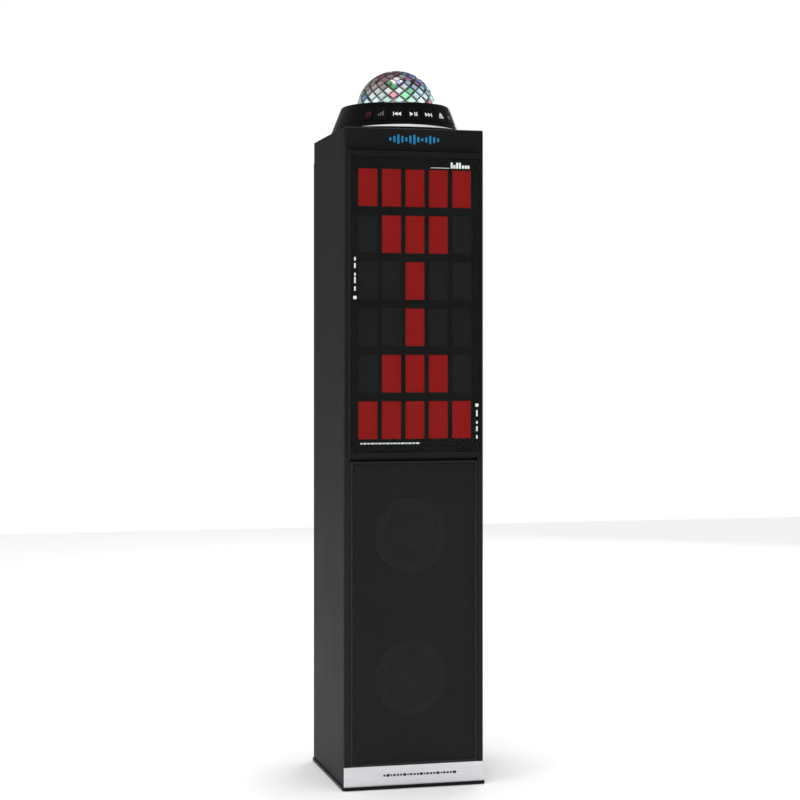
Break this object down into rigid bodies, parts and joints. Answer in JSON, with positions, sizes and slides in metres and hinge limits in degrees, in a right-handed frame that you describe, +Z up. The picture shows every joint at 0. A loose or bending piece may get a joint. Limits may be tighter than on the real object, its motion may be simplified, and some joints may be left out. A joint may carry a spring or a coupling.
{
  "type": "light-show speaker tower",
  "caption": "Tall free-standing speaker tower with a light-block display, a ring of control buttons and a revolving crystal dome.",
  "frame": {"origin": "on the floor, under the middle of the cabinet", "axes": "+Z up, the front with the display and the grille faces -Y, +X to the right of someone facing the front"},
  "size_m": [0.207, 0.236, 1.026],
  "materials": {
    "black_board": "black vinyl-wrapped board, satin",
    "base_metal": "black satin enamel",
    "foot_rubber": "matte",
    "silver_metal": "brushed",
    "cap_plastic": "fine moulded texture",
    "grille_metal": "black powder coat, fine mesh",
    "moulded_black": "moulded",
    "smoked_window": "smoked acrylic",
    "screw_steel": "black oxide",
    "gloss_black": "high gloss",
    "silver_trim": "polished",
    "circuit_board": "solder mask",
    "clear_dome": "clear moulded lenses",
    "gear_plastic": "natural moulded",
    "motor_steel": "plated",
    "plate_metal": "black satin",
    "knob_plastic": "fluted",
    "socket_plastic": "moulded",
    "rocker_plastic": "red",
    "basket_steel": "black",
    "magnet_ferrite": "ferrite",
    "cone_paper": "pressed paper",
    "surround_rubber": "matte",
    "coil_copper": "copper winding",
    "red_diffuser": "red diffuser",
    "button_plastic": "gloss black with a light icon"
  },
  "bodies": {
    "cabinet": {"left_side_panel": "black_board", "right_side_panel": "black_board", "back_panel": "black_board", "bottom_board": "black_board", "divider_shelf": "black_board", "top_board": "black_board", "speaker_baffle": "black_board", "base_plate": "base_metal", "rubber_feet": "foot_rubber", "kick_plate": "silver_metal", "top_cap": "cap_plastic", "speaker_grille": "grille_metal", "grille_pegs": "moulded_black", "display_frame": "moulded_black", "upper_window": "smoked_window", "lower_window": "smoked_window", "panel_screws": "screw_steel", "pod_housing": "gloss_black", "pod_trim": "silver_trim", "button_board": "circuit_board", "dome_bezel": "gloss_black", "dome_spindle": "gear_plastic", "light_board": "circuit_board", "drive_motor": "motor_steel", "rear_plate": "plate_metal", "jack_sockets": "socket_plastic", "power_inlet": "socket_plastic", "rocker_housing": "socket_plastic", "amplifier_board": "circuit_board", "upper_driver_basket": "basket_steel", "upper_driver_magnet": "magnet_ferrite", "upper_driver_surround": "surround_rubber", "upper_light_grid": "moulded_black", "upper_light_lenses": "red_diffuser", "upper_led_board": "circuit_board", "lower_driver_basket": "basket_steel", "lower_driver_magnet": "magnet_ferrite", "lower_driver_surround": "surround_rubber", "lower_light_grid": "moulded_black", "lower_light_lenses": "red_diffuser", "lower_led_board": "circuit_board"},
    "upper_cone": {"upper_driver_cone": "cone_paper", "upper_voice_coil": "coil_copper"},
    "lower_cone": {"lower_driver_cone": "cone_paper", "lower_voice_coil": "coil_copper"},
    "dome_rotor": {"crystal_dome": "clear_dome", "dome_gear": "gear_plastic"},
    "motor_rotor": {"motor_pinion": "gear_plastic"},
    "button_1": {"button_1": "button_plastic"},
    "button_2": {"button_2": "button_plastic"},
    "button_3": {"button_3": "button_plastic"},
    "button_4": {"button_4": "button_plastic"},
    "button_5": {"button_5": "button_plastic"},
    "button_6": {"button_6": "button_plastic"},
    "button_7": {"button_7": "button_plastic"},
    "echo_knob": {"echo_knob": "knob_plastic"},
    "microphone_knob": {"microphone_knob": "knob_plastic"},
    "volume_knob": {"volume_knob": "knob_plastic"},
    "power_rocker": {"power_rocker": "rocker_plastic"}
  },
  "joints": [
    {"name": "button_1_press", "type": "slide", "parent": "cabinet", "child": "button_1", "axis": [0.6385, 0.6752, -0.3694], "range_m": [0, 0.001], "stiffness_N_per_m": 600},
    {"name": "button_2_press", "type": "slide", "parent": "cabinet", "child": "button_2", "axis": [0.4391, 0.819, -0.3694], "range_m": [0, 0.001], "stiffness_N_per_m": 600},
    {"name": "button_3_press", "type": "slide", "parent": "cabinet", "child": "button_3", "axis": [0.209, 0.9054, -0.3694], "range_m": [0, 0.001], "stiffness_N_per_m": 600},
    {"name": "button_4_press", "type": "slide", "parent": "cabinet", "child": "button_4", "axis": [-0.0357, 0.9286, -0.3694], "range_m": [0, 0.001], "stiffness_N_per_m": 600},
    {"name": "button_5_press", "type": "slide", "parent": "cabinet", "child": "button_5", "axis": [-0.2779, 0.8867, -0.3694], "range_m": [0, 0.001], "stiffness_N_per_m": 600},
    {"name": "button_6_press", "type": "slide", "parent": "cabinet", "child": "button_6", "axis": [-0.5007, 0.7829, -0.3694], "range_m": [0, 0.001], "stiffness_N_per_m": 600},
    {"name": "button_7_press", "type": "slide", "parent": "cabinet", "child": "button_7", "axis": [-0.6884, 0.6242, -0.3694], "range_m": [0, 0.001], "stiffness_N_per_m": 600},
    {"name": "dome_spin", "type": "hinge", "parent": "cabinet", "child": "dome_rotor", "pos_m": [0, 0, 0.956], "axis": [0, 0, 1], "continuous": true},
    {"name": "pinion_spin", "type": "hinge", "parent": "cabinet", "child": "motor_rotor", "pos_m": [0, 0.0525, 0.954], "axis": [0, 0, 1], "continuous": true},
    {"name": "upper_cone_travel", "type": "slide", "parent": "cabinet", "child": "upper_cone", "axis": [0, -1, 0], "range_m": [-0.002, 0.002], "stiffness_N_per_m": 1000, "deforming": ["upper_driver_surround"]},
    {"name": "lower_cone_travel", "type": "slide", "parent": "cabinet", "child": "lower_cone", "axis": [0, -1, 0], "range_m": [-0.002, 0.002], "stiffness_N_per_m": 1000, "deforming": ["lower_driver_surround"]},
    {"name": "echo_knob_turn", "type": "hinge", "parent": "cabinet", "child": "echo_knob", "pos_m": [-0.04, 0.108, 0.7], "axis": [0, -1, 0], "range_deg": [0, 300]},
    {"name": "microphone_knob_turn", "type": "hinge", "parent": "cabinet", "child": "microphone_knob", "pos_m": [0, 0.108, 0.7], "axis": [0, -1, 0], "range_deg": [0, 300]},
    {"name": "volume_knob_turn", "type": "hinge", "parent": "cabinet", "child": "volume_knob", "pos_m": [0.04, 0.108, 0.7], "axis": [0, -1, 0], "range_deg": [0, 300]},
    {"name": "power_rocker_tilt", "type": "hinge", "parent": "cabinet", "child": "power_rocker", "pos_m": [0.03, 0.1065, 0.585], "axis": [-1, 0, 0], "range_deg": [0, 14]}
  ],
  "couplings": [
    {"joint": "pinion_spin", "follows": "dome_spin", "ratio": -4}
  ]
}
